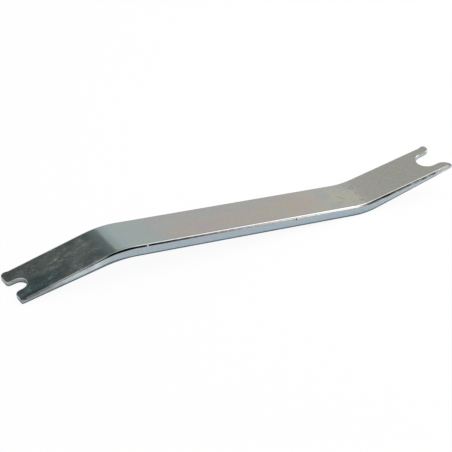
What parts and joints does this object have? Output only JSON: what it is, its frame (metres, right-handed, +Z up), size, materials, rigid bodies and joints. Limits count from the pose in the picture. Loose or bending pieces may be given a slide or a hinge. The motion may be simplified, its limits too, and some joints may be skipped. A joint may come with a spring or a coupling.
{
  "type": "fuel line disconnect tool",
  "caption": "Flat zinc-plated steel bar set in a lazy Z, its thinned ends forked in different widths to straddle a fuel line and push its connector apart.",
  "frame": {"origin": "on the bench, under the middle of the whole length and of the width, with the bar lying as it rests: on the prong tips of its drooping arm and on the belly of the bend before its raised arm", "axes": "+X along the bar towards the raised arm with the wide notch, +Y across the bar's width, +Z up from the bench"},
  "size_m": [0.2708, 0.025, 0.0177],
  "materials": {
    "zinc_plated_steel": "bright zinc plate, faintly iridescent, with tool marks"
  },
  "bodies": {
    "root": {"forked_bar": "zinc_plated_steel"}
  },
  "joints": []
}
